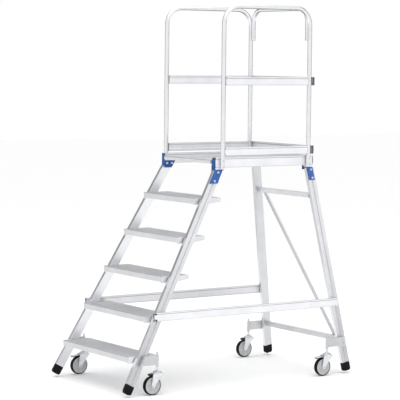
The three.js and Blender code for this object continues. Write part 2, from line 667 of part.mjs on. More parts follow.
// Pressed fork: two cheeks under a crown and a bearing head, with the axle riveted through the cheeks.
function casterFork() {
  const bossR = 13;
  const boss = [];
  for (let k = 0; k <= 6; k += 1) {
    const angle = -THREE.MathUtils.degToRad(10 + k * 26.7);
    boss.push([bossR * Math.cos(angle) - TRAIL, bossR * Math.sin(angle) + WHEEL_Z]);
  }
  const top = CROWN_Z + FORK_PLATE;
  const cheekShape = outline([[-40, top], [34, top], [31, 128], ...boss, [-43, 118]]);
  const cheeks = [-1, 1].map((s) => alongX(cheekShape, s * FORK_GAP, s * (FORK_GAP + FORK_PLATE)));
  const crownX = FORK_GAP + FORK_PLATE;
  const crown = box(-crownX, crownX, -40, 34, CROWN_Z, top);
  const head = turned([
    [0, top - 1], [30, top - 1], [30, top + 3], [25, top + 8], [18, FORK_TOP_Z], [0, FORK_TOP_Z],
  ], PIN_SIDES);
  const rivet = crownX + 3;
  const axle = turned([
    [0, -rivet], [8, -rivet], [8, 0.2 - crownX], [AXLE_R, 0.2 - crownX],
    [AXLE_R, crownX - 0.2], [8, crownX - 0.2], [8, rivet], [0, rivet],
  ], PIN_SIDES).rotateY(Math.PI / 2).translate(0, -TRAIL, WHEEL_Z);
  const spindleHole = cylinderZ(SHANK_R + RUNNING, CROWN_Z - 1, FORK_TOP_Z + 1, PIN_SIDES);
  const pedalHole = cylinderX(PEDAL_PIN_R + RUNNING, -crownX - 1, crownX + 1, PIN_SIDES)
    .translate(0, PEDAL_PIN_Y, PEDAL_PIN_Z);
  return cut(join(crown, ...cheeks, head, axle), spindleHole, pedalHole);
}

function wheelHub() {
  const bore = AXLE_R + RUNNING;
  const half = [[bore, -17], [13, -17], [15, -7], [45, -7], [48, -12], [HUB_R, -12]];
  const mirrored = half.map(([r, x]) => [r, -x]).reverse();
  return turned([...half, ...mirrored, half[0]], WHEEL_SIDES).rotateY(Math.PI / 2);
}

function wheelTyre() {
  const w = TYRE_WIDTH / 2;
  const inner = HUB_R + GAP;
  const half = [[inner, 3 - w], [WHEEL_R - 4.5, -w], [WHEEL_R - 1.5, 2 - w], [WHEEL_R, 7 - w]];
  const mirrored = half.map(([r, x]) => [r, -x]).reverse();
  return turned([...half, ...mirrored, half[0]], WHEEL_SIDES).rotateY(Math.PI / 2);
}

// The pedal turns on a pin through the fork's cheeks and presses on the tyre when it is stepped on. One front
// and one rear caster have a long pedal, the other two only a short one.
function brakePedal(long) {
  const end = long
    ? [[-40, 132.5], [-92, 125], [-95, 120], [-92, 115.6]]
    : [[-40, 133], [-58, 133], [-61, 130], [-60, 120.8]];
  const lever = alongX(outline([
    [-19, 124], [-19, 130], [-26, 132.5], ...end, [-42, 123.2], [-28, 122.5],
  ]), -17, 17);
  const pinEnd = FORK_GAP + FORK_PLATE;
  const pin = cylinderX(PEDAL_PIN_R, -pinEnd, pinEnd, PIN_SIDES).translate(0, PEDAL_PIN_Y, PEDAL_PIN_Z);
  return join(lever, pin);
}

function addCasters() {
  for (const [end, stemY] of [['front', STEM_FRONT_Y], ['rear', STEM_REAR_Y]]) {
    for (const [label, side] of [['left', -1], ['right', 1]]) {
      const place = `${end}_${label}`;
      const caster = new THREE.Group();
      caster.position.set(side * CASTER_X, stemY, 0);
      add(`caster_arm_${place}`, casterArm(end === 'front', side), ALUMINIUM, caster);
      add(`caster_spindle_${place}`, casterSpindle(), STEEL, caster);
      add(`caster_fork_${place}`, casterFork(), STEEL, caster);
      add(`brake_pedal_${place}`, brakePedal((end === 'front') === (side < 0)), BLACK_PLASTIC, caster);
      const wheel = new THREE.Group();
      wheel.position.set(0, -TRAIL, WHEEL_Z);
      add(`wheel_hub_${place}`, wheelHub(), GREY_PLASTIC, wheel);
      add(`tyre_${place}`, wheelTyre(), BLACK_RUBBER, wheel);
      caster.add(wheel);
      ladder.add(caster);
    }
  }
}

addMainFrame();
addTreads();
addPlatform();
addBrackets();
addGuardRails();
addBracing();
addCasters();

export default ladder;
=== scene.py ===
import json
import math

import bmesh
import bpy
from mathutils import Matrix, Vector


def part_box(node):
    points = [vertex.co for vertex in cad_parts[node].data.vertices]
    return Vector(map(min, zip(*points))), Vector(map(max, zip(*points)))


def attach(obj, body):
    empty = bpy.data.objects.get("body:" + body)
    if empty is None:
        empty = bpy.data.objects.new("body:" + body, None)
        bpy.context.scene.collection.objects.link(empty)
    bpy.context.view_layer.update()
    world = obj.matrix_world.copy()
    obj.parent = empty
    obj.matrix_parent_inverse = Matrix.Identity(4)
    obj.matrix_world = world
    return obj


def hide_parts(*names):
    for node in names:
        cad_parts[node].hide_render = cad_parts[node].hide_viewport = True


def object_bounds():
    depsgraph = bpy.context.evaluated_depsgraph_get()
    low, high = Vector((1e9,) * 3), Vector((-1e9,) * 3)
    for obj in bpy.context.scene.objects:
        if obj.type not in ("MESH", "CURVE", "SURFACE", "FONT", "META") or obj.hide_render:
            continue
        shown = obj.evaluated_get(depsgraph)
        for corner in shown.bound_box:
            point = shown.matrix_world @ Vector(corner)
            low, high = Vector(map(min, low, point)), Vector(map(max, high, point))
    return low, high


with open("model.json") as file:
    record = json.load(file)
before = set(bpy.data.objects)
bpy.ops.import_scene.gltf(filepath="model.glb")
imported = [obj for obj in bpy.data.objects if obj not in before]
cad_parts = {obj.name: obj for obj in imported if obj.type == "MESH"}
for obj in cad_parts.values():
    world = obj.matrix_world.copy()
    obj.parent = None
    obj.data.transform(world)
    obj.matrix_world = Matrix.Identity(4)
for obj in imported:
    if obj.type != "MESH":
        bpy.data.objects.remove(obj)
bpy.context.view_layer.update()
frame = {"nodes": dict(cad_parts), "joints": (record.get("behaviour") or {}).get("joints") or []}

# A rolling warehouse ladder. X runs across the treads, the climb goes towards +Y, Z is up, in metres.
MM = 0.001
X_AXIS, Y_AXIS, Z_AXIS = Vector((1, 0, 0)), Vector((0, 1, 0)), Vector((0, 0, 1))
NODES = frame["nodes"]
JOINTS = {joint["name"]: joint for joint in frame["joints"]}
SIDES = {"left": -1, "right": 1}
PLACES = [f"{end}_{side}" for end in ("front", "rear") for side in SIDES]

# ---- Camera ----

CAMERA_PLACE = Vector((9.852, -6.805, 2.095))
CAMERA_AHEAD = Vector((-0.8219, 0.5647, -0.0750)).normalized()
CAMERA_ROLL = math.radians(0.59)
CAMERA_LENS = 163.8
CAMERA_SENSOR = 36
CAMERA_SHIFT = -0.012
CAMERA_REACH = 100


def make_camera():
    data = bpy.data.cameras.new("camera")
    data.sensor_width = CAMERA_SENSOR
    data.lens = CAMERA_LENS
    data.shift_y = CAMERA_SHIFT
    data.clip_end = CAMERA_REACH
    level = CAMERA_AHEAD.cross(Z_AXIS).normalized()
    upright = level.cross(CAMERA_AHEAD)
    right = level * math.cos(CAMERA_ROLL) + upright * math.sin(CAMERA_ROLL)
    up = right.cross(CAMERA_AHEAD)
    camera = bpy.data.objects.new("camera", data)
    turn = Matrix((right, up, -CAMERA_AHEAD)).transposed()
    camera.matrix_world = Matrix.Translation(CAMERA_PLACE) @ turn.to_4x4()
    bpy.context.scene.collection.objects.link(camera)
    bpy.context.scene.camera = camera


make_camera()

# ---- Mesh shapes ----

CORNER_STEPS = 3
SHARP_ANGLE = 32
ALMOST_PARALLEL = 1e-4


def circle_points(radius, count):
    step = 2 * math.pi / count
    return [(radius * math.cos(i * step), radius * math.sin(i * step)) for i in range(count)]


def rounded_rectangle(half_x, half_y, corner):
    """Points anticlockwise round a rectangle with round corners."""
    points = []
    for quarter, (sx, sy) in enumerate(((1, 1), (-1, 1), (-1, -1), (1, -1))):
        for k in range(CORNER_STEPS + 1):
            angle = math.pi / 2 * (quarter + k / CORNER_STEPS)
            points.append((
                sx * (half_x - corner) + corner * math.cos(angle),
                sy * (half_y - corner) + corner * math.sin(angle),
            ))
    return points


def bridge(bm, loops, close=False):
    """Joins rings of vertices, each with the same count, one to the next."""
    pairs = list(zip(loops, loops[1:]))
    if close:
        pairs.append((loops[-1], loops[0]))
    for a, b in pairs:
        count = len(a)
        for i in range(count):
            j = (i + 1) % count
            bm.faces.new((a[i], a[j], b[j], b[i]))


def ring(bm, points):
    return [bm.verts.new(point) for point in points]


def lathe(bm, profile, sides, place):
    """Turns a profile of (radius, z). It starts and ends on the axis, or its end meets its start."""
    on_axis = profile[0][0] == 0
    rows = []
    for radius, z in profile if on_axis else profile[:-1]:
        if radius == 0:
            rows.append([bm.verts.new(place @ Vector((0, 0, z)))])
        else:
            rows.append(ring(bm, [place @ Vector((x, y, z)) for x, y in circle_points(radius, sides)]))
    pairs = list(zip(rows, rows[1:]))
    if not on_axis:
        pairs.append((rows[-1], rows[0]))
    for a, b in pairs:
        for i in range(sides):
            j = (i + 1) % sides
            if len(a) == 1:
                bm.faces.new((a[0], b[j], b[i]))
            elif len(b) == 1:
                bm.faces.new((a[i], a[j], b[0]))
            else:
                bm.faces.new((a[i], a[j], b[j], b[i]))


def prism(bm, outline, depth, place):
    """Extrudes an outline of (x, y) from z = 0 to depth."""
    low = ring(bm, [place @ Vector((x, y, 0)) for x, y in outline])
    high = ring(bm, [place @ Vector((x, y, depth)) for x, y in outline])
    bridge(bm, [low, high])
    bm.faces.new(low[::-1])
    bm.faces.new(high)


def pipe(bm, points, directions, normal, radius, wall, sides):
    """A tube with a wall, open at both ends, along stations with their directions in one plane."""
    outer, inner = [], []
    for point, along in zip(points, directions):
        side = normal.cross(along).normalized()
        for rows, r in ((outer, radius), (inner, radius - wall)):
            rows.append(ring(bm, [point + side * x + normal * y for x, y in circle_points(r, sides)]))
    bridge(bm, outer + inner[::-1], close=True)


def facing(point, outward):
    """A placement whose +Z is outward from a face at point."""
    z = Vector(outward).normalized()
    x = Z_AXIS.cross(z)
    if x.length < ALMOST_PARALLEL:
        x = X_AXIS.cross(z)
    x.normalize()
    turn = Matrix((x, z.cross(x), z)).transposed()
    return Matrix.Translation(point) @ turn.to_4x4()


def finish_mesh(bm, name, material, body, sharp=SHARP_ANGLE):
    """Makes the piece: turns its faces outward and shades smoothly across edges below the sharp angle."""
    bmesh.ops.recalc_face_normals(bm, faces=bm.faces)
    for face in bm.faces:
        face.smooth = True
    for edge in bm.edges:
        edge.smooth = edge.calc_face_angle(math.pi) < math.radians(sharp)
    mesh = bpy.data.meshes.new(name)
    bm.to_mesh(mesh)
    bm.free()
    piece = bpy.data.objects.new(name, mesh)
    bpy.context.scene.collection.objects.link(piece)
    mesh.materials.append(material)
    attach(piece, body)
    return piece


def round_edges(piece, width, segments=2):
    bevel = piece.modifiers.new("edges", "BEVEL")
    bevel.width = width
    bevel.segments = segments
    bevel.limit_method = "ANGLE"
    bevel.angle_limit = math.radians(SHARP_ANGLE)
    bevel.use_clamp_overlap = True


# ---- Fasteners ----

# Widths over the flats and heights of the hexagon heads.
M8 = (13 * MM, 6 * MM)
M6 = (10 * MM, 5 * MM)
M5 = (8 * MM, 4 * MM)
WASHER_HEIGHT = 1.2 * MM
WASHER_SHARE = 0.62
WASHER_SIDES = 24
CHAMFER_HEIGHT = 0.8 * MM
CHAMFER_WIDTH = 0.9 * MM
THREAD_SHARE = 0.45
THREAD_HEIGHT = 1.5 * MM
THREAD_SIDES = 16
DOME_STEPS = 5
DOME_SIDES = 20
DOME_RIM = 0.2


def hex_bolt(bm, place, flats, height, washer=True):
    """A hexagon head on its washer, or without one a nut with the end of its bolt. flats is the width."""
    lift = 0.0
    if washer:
        lift = WASHER_HEIGHT
        r = flats * WASHER_SHARE
        rim = [(0, 0), (r, 0), (r, lift * 0.7), (r - lift * 0.3, lift), (0, lift)]
        lathe(bm, rim, WASHER_SIDES, place)
    r = flats / math.sqrt(3)
    top = lift + height
    head = [(0, lift), (r, lift), (r, top - CHAMFER_HEIGHT), (r - CHAMFER_WIDTH, top), (0, top)]
    lathe(bm, head, 6, place)
    if washer:
        return
    tip = top + THREAD_HEIGHT
    r *= THREAD_SHARE
    lathe(bm, [(0, top), (r, top), (r, tip), (0, tip)], THREAD_SIDES, place)


def dome_head(bm, place, radius, height):
    """A low round head, such as a blind rivet's or a coach bolt's."""
    profile = [(0, 0), (radius, 0), (radius, height * DOME_RIM)]
    for k in range(1, DOME_STEPS):
        angle = math.pi / 2 * k / DOME_STEPS
        profile.append((radius * math.cos(angle), height * (DOME_RIM + (1 - DOME_RIM) * math.sin(angle))))
    lathe(bm, profile + [(0, height)], DOME_SIDES, place)


# ---- Materials ----

SHADE_LINE_FADE = (1.2 * MM, 3.0 * MM)
METAL_TINT = (0.965, 0.975, 1.0)
METAL_CLOUD = (0.95, 1.03)
MOULD_GRAIN = 1400.0


class Surface:
    """A Principled material and short ways to build its node tree."""

    def __init__(self, name, metallic, specular=0.5):
        self.material = bpy.data.materials.new(name)
        self.material.use_nodes = True
        self.tree = self.material.node_tree
        self.shader = self.tree.nodes["Principled BSDF"]
        self.shader.inputs["Metallic"].default_value = metallic
        self.shader.inputs["Specular IOR Level"].default_value = specular
        self.place = self.tree.nodes.new("ShaderNodeTexCoord").outputs["Object"]

    def node(self, kind, **settings):
        made = self.tree.nodes.new(kind)
        for name, value in settings.items():
            setattr(made, name, value)
        return made

    def link(self, source, target):
        self.tree.links.new(source, target)

    def grain(self, along, fine, stretch):
        """Coordinates stretched along a direction, with `fine` repeats a metre across it."""
        turn = Vector(along).normalized().rotation_difference(X_AXIS).to_matrix()
        mapping = self.node("ShaderNodeMapping")
        mapping.inputs["Rotation"].default_value = turn.to_euler()
        self.link(self.place, mapping.inputs["Vector"])
        scale = self.node("ShaderNodeVectorMath", operation="MULTIPLY")
        scale.inputs[1].default_value = (fine / stretch, fine, fine)
        self.link(mapping.outputs["Vector"], scale.inputs[0])
        return scale.outputs["Vector"]

    def noise(self, coordinates, scale, detail=3.0, rough=0.55):
        made = self.node("ShaderNodeTexNoise")
        made.inputs["Scale"].default_value = scale
        made.inputs["Detail"].default_value = detail
        made.inputs["Roughness"].default_value = rough
        self.link(coordinates, made.inputs["Vector"])
        return made.outputs["Fac"]

    def ramp(self, value, low, high, start=0.3, end=0.7):
        """Maps a noise value to a range of numbers."""
        made = self.node("ShaderNodeMapRange")
        made.inputs["From Min"].default_value = start
        made.inputs["From Max"].default_value = end
        made.inputs["To Min"].default_value = low
        made.inputs["To Max"].default_value = high
        self.link(value, made.inputs["Value"])
        return made.outputs["Result"]

    def blend(self, value, dark, light):
        """Mixes two colours by a noise value."""
        made = self.node("ShaderNodeMix", data_type="RGBA")
        made.inputs["A"].default_value = (*dark, 1)
        made.inputs["B"].default_value = (*light, 1)
        self.link(self.ramp(value, 0, 1), made.inputs["Factor"])
        return made.outputs["Result"]

    def bump(self, height, distance, strength):
        """Tilts the surface by a noise value."""
        made = self.node("ShaderNodeBump")
        made.inputs["Strength"].default_value = strength
        made.inputs["Distance"].default_value = distance
        self.link(height, made.inputs["Height"])
        return made.outputs["Normal"]

    def math(self, operation, *values):
        made = self.node("ShaderNodeMath", operation=operation)
        for socket, value in zip(made.inputs, values):
            if isinstance(value, (int, float)):
                socket.default_value = value
            else:
                self.link(value, socket)
        return made.outputs[0]

    def turned_to(self, direction, start=0.35, end=0.8):
        """0 where a face turns away from a direction, 1 where it faces it."""
        made = self.node("ShaderNodeVectorMath", operation="DOT_PRODUCT")
        self.link(self.node("ShaderNodeNewGeometry").outputs["Normal"], made.inputs[0])
        made.inputs[1].default_value = Vector(direction).normalized()
        return self.ramp(made.outputs["Value"], 0, 1, start, end)

    def height(self, low, high, start, end):
        """Goes from low to high between two heights."""
        parts = self.node("ShaderNodeSeparateXYZ")
        self.link(self.place, parts.inputs[0])
        return self.ramp(parts.outputs["Z"], low, high, start, end)

    def painted_shade(self, faces):
        """How bright the metal is, as painted shade: each (direction, tone) or (direction, low tone, high
        tone, z, z) darkens the faces turned that way, the second kind by an amount that changes with height."""
        total = None
        for direction, *tones in faces:
            loss = tones[0] - 1 if len(tones) == 1 else self.height(tones[0] - 1, tones[1] - 1, *tones[2:])
            share = self.math("MULTIPLY_ADD", self.turned_to(direction), loss, 1.0)
            total = share if total is None else self.math("MULTIPLY", total, share)
        return total

    def shade_lines(self, shade_lines):
        """Painted shade: each (height, tone) darkens a thin level line beside a groove or an edge."""
        parts = self.node("ShaderNodeSeparateXYZ")
        self.link(self.place, parts.inputs[0])
        total = None
        for height, tone in shade_lines:
            away = self.math("ABSOLUTE", self.math("SUBTRACT", parts.outputs["Z"], height))
            line = self.ramp(away, tone, 1.0, *SHADE_LINE_FADE)
            total = line if total is None else self.math("MULTIPLY", total, line)
        return total

    def wear(self, low, high):
        """0 in hollows and on flats, 1 on outside edges."""
        edges = self.node("ShaderNodeNewGeometry").outputs["Pointiness"]
        return self.ramp(edges, 0, 1, low, high)


def aluminium(name, along, tone, faces=(), rough=(0.30, 0.44), shade_lines=()):
    """Mill-finished extrusion: drawing lines along its length, cloudy oxide, a few handling marks and painted
    shade.
    """
    s = Surface(name, 1.0)
    lines = s.noise(s.grain(along, 420, 90), 1.0, 4.0, 0.6)
    cloud = s.noise(s.place, 9.0, 4.0)
    marks = s.noise(s.grain(along, 60, 3), 1.0, 5.0, 0.7)
    colour = s.blend(cloud, *[[tone * k * part for part in METAL_TINT] for k in METAL_CLOUD])
    # Painted shade: the colour is scaled down by face direction, by height and along thin level lines.
    for share in ([s.painted_shade(faces)] if faces else []) + ([s.shade_lines(shade_lines)] if shade_lines else []):
        made = s.node("ShaderNodeVectorMath", operation="SCALE")
        s.link(colour, made.inputs[0])
        s.link(share, made.inputs["Scale"])
        colour = made.outputs[0]
    s.link(colour, s.shader.inputs["Base Color"])
    roughness = s.math("ADD", s.ramp(lines, rough[0], rough[1]), s.ramp(marks, 0, 0.12, 0.55, 0.75))
    s.link(roughness, s.shader.inputs["Roughness"])
    s.link(s.bump(lines, 0.00006, 0.6), s.shader.inputs["Normal"])
    return s.material


def powder_coat(name, dark, light):
    """Semi-gloss powder coat with a fine orange peel, a little paler where edges are rubbed."""
    s = Surface(name, 0.0, 0.25)
    cloud = s.noise(s.place, 25.0, 3.0)
    rubbed = s.node("ShaderNodeMix", data_type="RGBA")
    s.link(s.wear(0.53, 0.62), rubbed.inputs["Factor"])
    s.link(s.blend(cloud, dark, light), rubbed.inputs["A"])
    rubbed.inputs["B"].default_value = (*[min(1, c * 1.6 + 0.03) for c in light], 1)
    s.link(rubbed.outputs["Result"], s.shader.inputs["Base Color"])
    peel = s.noise(s.place, 900.0, 2.0)
    s.link(s.ramp(peel, 0.34, 0.46), s.shader.inputs["Roughness"])
    s.link(s.bump(peel, 0.00012, 0.5), s.shader.inputs["Normal"])
    return s.material


def plated_steel(name, dark=(0.56, 0.57, 0.60), light=(0.74, 0.75, 0.78)):
    """Bright zinc plate: cloudy, with fine scratches."""
    s = Surface(name, 1.0)
    cloud = s.noise(s.place, 60.0, 4.0)
    scratches = s.noise(s.grain((0.3, 1, 0.2), 700, 12), 1.0, 3.0)
    s.link(s.blend(cloud, dark, light), s.shader.inputs["Base Color"])
    s.link(s.ramp(scratches, 0.22, 0.38), s.shader.inputs["Roughness"])
    s.link(s.bump(scratches, 0.00004, 0.4), s.shader.inputs["Normal"])
    return s.material


def moulded(name, dark, light, rough, grit, shine=0.12):
    """Moulded rubber or plastic: a fine spark-eroded grain, a dusty cloud and pale rubbed edges."""
    s = Surface(name, 0.0, shine)
    cloud = s.noise(s.place, 40.0, 4.0)
    grain = s.noise(s.place, MOULD_GRAIN, 2.0)
    dusty = s.node("ShaderNodeMix", data_type="RGBA")
    s.link(s.wear(0.52, 0.64), dusty.inputs["Factor"])
    s.link(s.blend(cloud, dark, light), dusty.inputs["A"])
    dusty.inputs["B"].default_value = (*[min(1, c * 1.5 + 0.02) for c in light], 1)
    s.link(dusty.outputs["Result"], s.shader.inputs["Base Color"])
    s.link(s.ramp(grain, rough - 0.08, rough + 0.08), s.shader.inputs["Roughness"])
    s.link(s.bump(grain, grit, 0.6), s.shader.inputs["Normal"])
    return s.material


# ---- Where the frame's members are ----


class Member:
    """A sloping section: its centreline, outward side, direction across its depth and sideways slope."""

    def __init__(self, node, side):
        low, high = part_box(node)
        corners = {tuple(round(c, 6) for c in v.co) for v in NODES[node].data.vertices}
        # The section's corners, at the upper end and at the lower one.
        upper = [Vector(c) for c in corners if c[2] > (low.z + high.z) / 2]
        lower = [Vector(c) for c in corners if c[2] <= (low.z + high.z) / 2]
        centres = [sum(end, Vector()) / len(end) for end in (lower, upper)]
        self.along = (centres[1] - centres[0]).normalized()
        self.out = (Vector((side, 0, 0)) - self.along * self.along.x * side).normalized()
        self.across = self.along.cross(self.out)
        middle = Vector()
        for direction in (self.out, self.across):
            reach = [corner.dot(direction) for corner in upper + lower]
            middle += direction * ((min(reach) + max(reach)) / 2)
        # Where the centreline would meet the floor.
        self.floor = middle - self.along * (middle.z / self.along.z)
        bottom, top = self.at(low.z), self.at(high.z)
        self.slope = abs((top.x - bottom.x) / (top.z - bottom.z))

    def at(self, z):
        return self.floor + self.along * (z / self.along.z)


RAIL_HALF_WIDTH = 12.5 * MM
GROOVE_DEPTH = 5 * MM
STRINGERS = {side: Member(f"stringer_{side}", s) for side, s in SIDES.items()}
LEGS = {side: Member(f"rear_leg_{side}", s) for side, s in SIDES.items()}

# ---- Materials in use ----

# Tones by face and height stand in for what a studio reflects in bare metal. Each is (direction, tone), or
# (direction, low tone, high tone, low height, high height).
LOWEST_TREAD = 0.245
ALONG_X = aluminium("aluminium_across", X_AXIS, 0.90)
CROSSBAR_METAL = aluminium("aluminium_crossbar", X_AXIS, 0.70)
TUBE_METAL = aluminium("aluminium_tube", Z_AXIS, 0.86, [(Z_AXIS, 0.84), (-Z_AXIS, 0.30)], (0.13, 0.22))
# The arms' darker tone is painted shade on the same aluminium.
ARM_METAL = aluminium("aluminium_arm", Y_AXIS, 0.62)
TREAD_METAL = aluminium("aluminium_tread", X_AXIS, 0.92, [
    (Z_AXIS, 0.70, 0.62, LOWEST_TREAD, 0.75),
    (-Y_AXIS, 0.75, 0.88, LOWEST_TREAD, 1.1),
    (X_AXIS, 0.84), (-X_AXIS, 0.84),
], (0.36, 0.5))
DECK_METAL = aluminium("aluminium_deck", X_AXIS, 0.9, [(Z_AXIS, 0.75)], (0.4, 0.52))
BLUE = powder_coat("blue_powder_coat", (0.012, 0.062, 0.235), (0.020, 0.090, 0.31))
STEEL = plated_steel("zinc_plated_steel")
PALE_STEEL = plated_steel("pale_plated_steel", (0.62, 0.63, 0.65), (0.78, 0.79, 0.81))
DARK_STEEL = plated_steel("blackened_steel", (0.03, 0.03, 0.033), (0.07, 0.07, 0.075))
RUBBER = moulded("black_rubber", (0.004, 0.004, 0.0045), (0.008, 0.008, 0.009), 0.62, 0.00010, 0.08)
BLACK_PLASTIC = moulded("black_plastic", (0.009, 0.009, 0.010), (0.018, 0.018, 0.020), 0.45, 0.00005)
DARK_PLASTIC = moulded("dark_plastic", (0.07, 0.07, 0.075), (0.11, 0.11, 0.115), 0.5, 0.00005)
GREY_PLASTIC = moulded("grey_plastic", (0.42, 0.43, 0.44), (0.52, 0.53, 0.54), 0.42, 0.00004, 0.3)


def member_metal(name, member, inner, front_at_top):
    """Painted shade: darker on the inner face; the outer face darkens towards the floor, the front face
    towards the top.
    """
    return aluminium(name, member.along, 0.95, [
        (-member.out, inner),
        (member.out, 0.60, 0.86, 0.2, 0.9),
        (-Y_AXIS, 1.0, front_at_top, 0.25, 0.9),
    ])


BEAM_HEIGHT = 66 * MM
BOARD_HEIGHT = 54 * MM
GROOVED_HEIGHTS = {
    "side_brace": 55 * MM, "platform_beam": BEAM_HEIGHT, "knee_rail": BOARD_HEIGHT, "toe_board": BOARD_HEIGHT,
}
LIP = 11 * MM
SHADE_LINE_INSET = 1 * MM


def grooved_metal(node):
    """The metal of a board, beam or brace, with painted shade along its edges and under the upper lip of its
    groove.
    """
    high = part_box(node)[1]
    kind = node.rsplit("_", 1)[0]
    half = GROOVED_HEIGHTS[kind] / 2
    middle = high.z - half
    reach = half - SHADE_LINE_INSET
    # Painted shade lines: under the groove's upper lip, and along the bottom and top edges.
    shade_lines = [(middle + half - LIP, 0.5), (middle - reach, 0.62), (middle + reach, 0.7)]
    if node.endswith("_rear"):
        return aluminium(f"aluminium_{node}", X_AXIS, 0.90, shade_lines=shade_lines)
    # Painted shade on the side pieces: faces turned to the front and inward are darker.
    inward = X_AXIS if node.endswith("left") else -X_AXIS
    faces = [(-Y_AXIS, 0.75), (inward, 0.80 if kind == "side_brace" else 0.98)]
    return aluminium(f"aluminium_{node}", Y_AXIS, 0.93, faces, shade_lines=shade_lines)


EDGE_WIDTH = 0.8 * MM
RIB_EDGE_WIDTH = 0.35 * MM
WELD_REACH = 0.02 * MM


def dress_cad():
    """Gives each CAD node its material, joins its near-coincident corners and rounds its edges."""
    member_metals = {
        f"{name}_{side}": member_metal(f"aluminium_{name}_{side}", members[side], *tones)
        for name, members, *tones in (("stringer", STRINGERS, 0.96, 0.68), ("rear_leg", LEGS, 0.72, 0.66))
        for side in SIDES
    }
    for name, node in NODES.items():
        material, width = ALONG_X, EDGE_WIDTH
        if name in member_metals:
            material = member_metals[name]
        elif name.startswith("tread"):
            material, width = TREAD_METAL, RIB_EDGE_WIDTH
        elif name == "deck_panel":
            material, width = DECK_METAL, RIB_EDGE_WIDTH
        elif name.startswith("corner_bracket"):
            material = BLUE
        elif name.startswith("caster_arm"):
            material = ARM_METAL
        elif name.startswith(tuple(GROOVED_HEIGHTS)) and name != "platform_beam_rear":
            material = grooved_metal(name)
        elif name.startswith("rear_crossbar"):
            material = CROSSBAR_METAL
        elif name == "rear_diagonal":
            low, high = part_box(name)
            material = aluminium("aluminium_diagonal", Vector((high.x - low.x, 0, low.z - high.z)), 0.62)
        node.data.materials.clear()
        node.data.materials.append(material)
        weld = node.modifiers.new("weld", "WELD")
        weld.merge_threshold = WELD_REACH
        round_edges(node, width)


dress_cad()

# ---- Guard rails ----

TUBE_SIDES = 32
TUBE_WALL = 2 * MM
BEND_STEPS = 14
GUARD_BEND = 115 * MM
BOW_BEND = 88 * MM
# How far a flat-bottomed head sinks into a round tube.
POST_SINK = 0.4 * MM


def bent_pipe(name, corners, bend, radius):
    """A tube along straight runs, with a round bend at each inner corner. All the corners are in a plane."""
    points, directions = [corners[0]], [(corners[1] - corners[0]).normalized()]
    for before, corner, after in zip(corners, corners[1:], corners[2:]):
        incoming = (corner - before).normalized()
        outgoing = (after - corner).normalized()
        centre = corner - incoming * bend + outgoing * bend
        for k in range(BEND_STEPS + 1):
            angle = math.pi / 2 * k / BEND_STEPS
            points.append(centre - outgoing * (bend * math.cos(angle)) + incoming * (bend * math.sin(angle)))
            directions.append(incoming * math.cos(angle) + outgoing * math.sin(angle))
    points.append(corners[-1])
    directions.append((corners[-1] - corners[-2]).normalized())
    normal = directions[0].cross(directions[len(directions) // 2]).normalized()
    bm = bmesh.new()
    pipe(bm, points, directions, normal, radius, TUBE_WALL, TUBE_SIDES)
    piece = finish_mesh(bm, name, TUBE_METAL, "frame")
    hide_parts(name.removesuffix("_tube"))


def tube_plug(bm, place, radius):
    """A ribbed plug pressed into a tube's end, with a low flange over the wall."""
    inner = radius - TUBE_WALL - 0.1 * MM
    lathe(bm, [
        (0, -12 * MM), (inner - 1 * MM, -12 * MM), (inner, -10 * MM), (inner, -0.3 * MM),
        (radius - 0.6 * MM, -0.3 * MM), (radius - 0.2 * MM, 0.4 * MM), (radius - 1.2 * MM, 1.6 * MM),
        (radius * 0.5, 2.2 * MM), (0, 2.3 * MM),
    ], TUBE_SIDES, place)


def make_guard_rails():
    """The bent tubes of the side frames and the rear bow, with their plugs, bolts and rivets."""
    plugs = bmesh.new()
    fixings = bmesh.new()
    bow_low, bow_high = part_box("guard_bow_rear")
    for side, s in SIDES.items():
        low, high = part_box(f"guard_frame_{side}")
        radius = (high.x - low.x) / 2
        x = (low.x + high.x) / 2
        front, rear, top = low.y + radius, high.y - radius, high.z - radius
        ends = ((front, low.z), (front, top), (rear, top), (rear, low.z))
        bent_pipe(f"guard_frame_{side}_tube", [Vector((x, y, z)) for y, z in ends], GUARD_BEND, radius)
        for y in (front, rear):
            tube_plug(plugs, facing(Vector((x, y, low.z)), -Z_AXIS), radius)
        # Bolts hold the posts to the platform beams, and the rear bow to the rear posts.
        beam_low, beam_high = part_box(f"platform_beam_{side}")
        face = x + s * radius
        for y in (front, rear):
            for share in (0.25, 0.75):
                z = beam_low.z + share * (beam_high.z - beam_low.z)
                hex_bolt(fixings, facing(Vector((face - s * POST_SINK, y, z)), X_AXIS * s), *M6)
        for drop in (25 * MM, 70 * MM):
            z = bow_low.z + drop
            dome_head(fixings, facing(Vector((face - s * 0.5 * MM, rear, z)), X_AXIS * s), 5.5 * MM, 3 * MM)
            inner = Vector((s * (bow_high.x - 2 * radius + POST_SINK), rear, z))
            hex_bolt(fixings, facing(inner, X_AXIS * -s), *M5, washer=False)
        z = bow_low.z + 40 * MM
        for outward in (-1, 1):
            at = Vector((x + outward * (radius - POST_SINK), front, z))
            dome_head(fixings, facing(at, X_AXIS * outward), 4 * MM, 2 * MM)
    radius = (bow_high.y - bow_low.y) / 2
    y = (bow_high.y + bow_low.y) / 2
    top = bow_high.z - radius
    left, right = bow_low.x + radius, bow_high.x - radius
    ends = ((left, bow_low.z), (left, top), (right, top), (right, bow_low.z))
    bent_pipe("guard_bow_rear_tube", [Vector((x, y, z)) for x, z in ends], BOW_BEND, radius)
    for x in (left, right):
        tube_plug(plugs, facing(Vector((x, y, bow_low.z)), -Z_AXIS), radius)
    finish_mesh(plugs, "tube_plugs", GREY_PLASTIC, "frame")
    finish_mesh(fixings, "guard_rail_bolts", STEEL, "frame")


make_guard_rails()

# How far a screw's head sits below the highest points of a board's inner face.
SCREW_DEPTH = 2.4 * MM


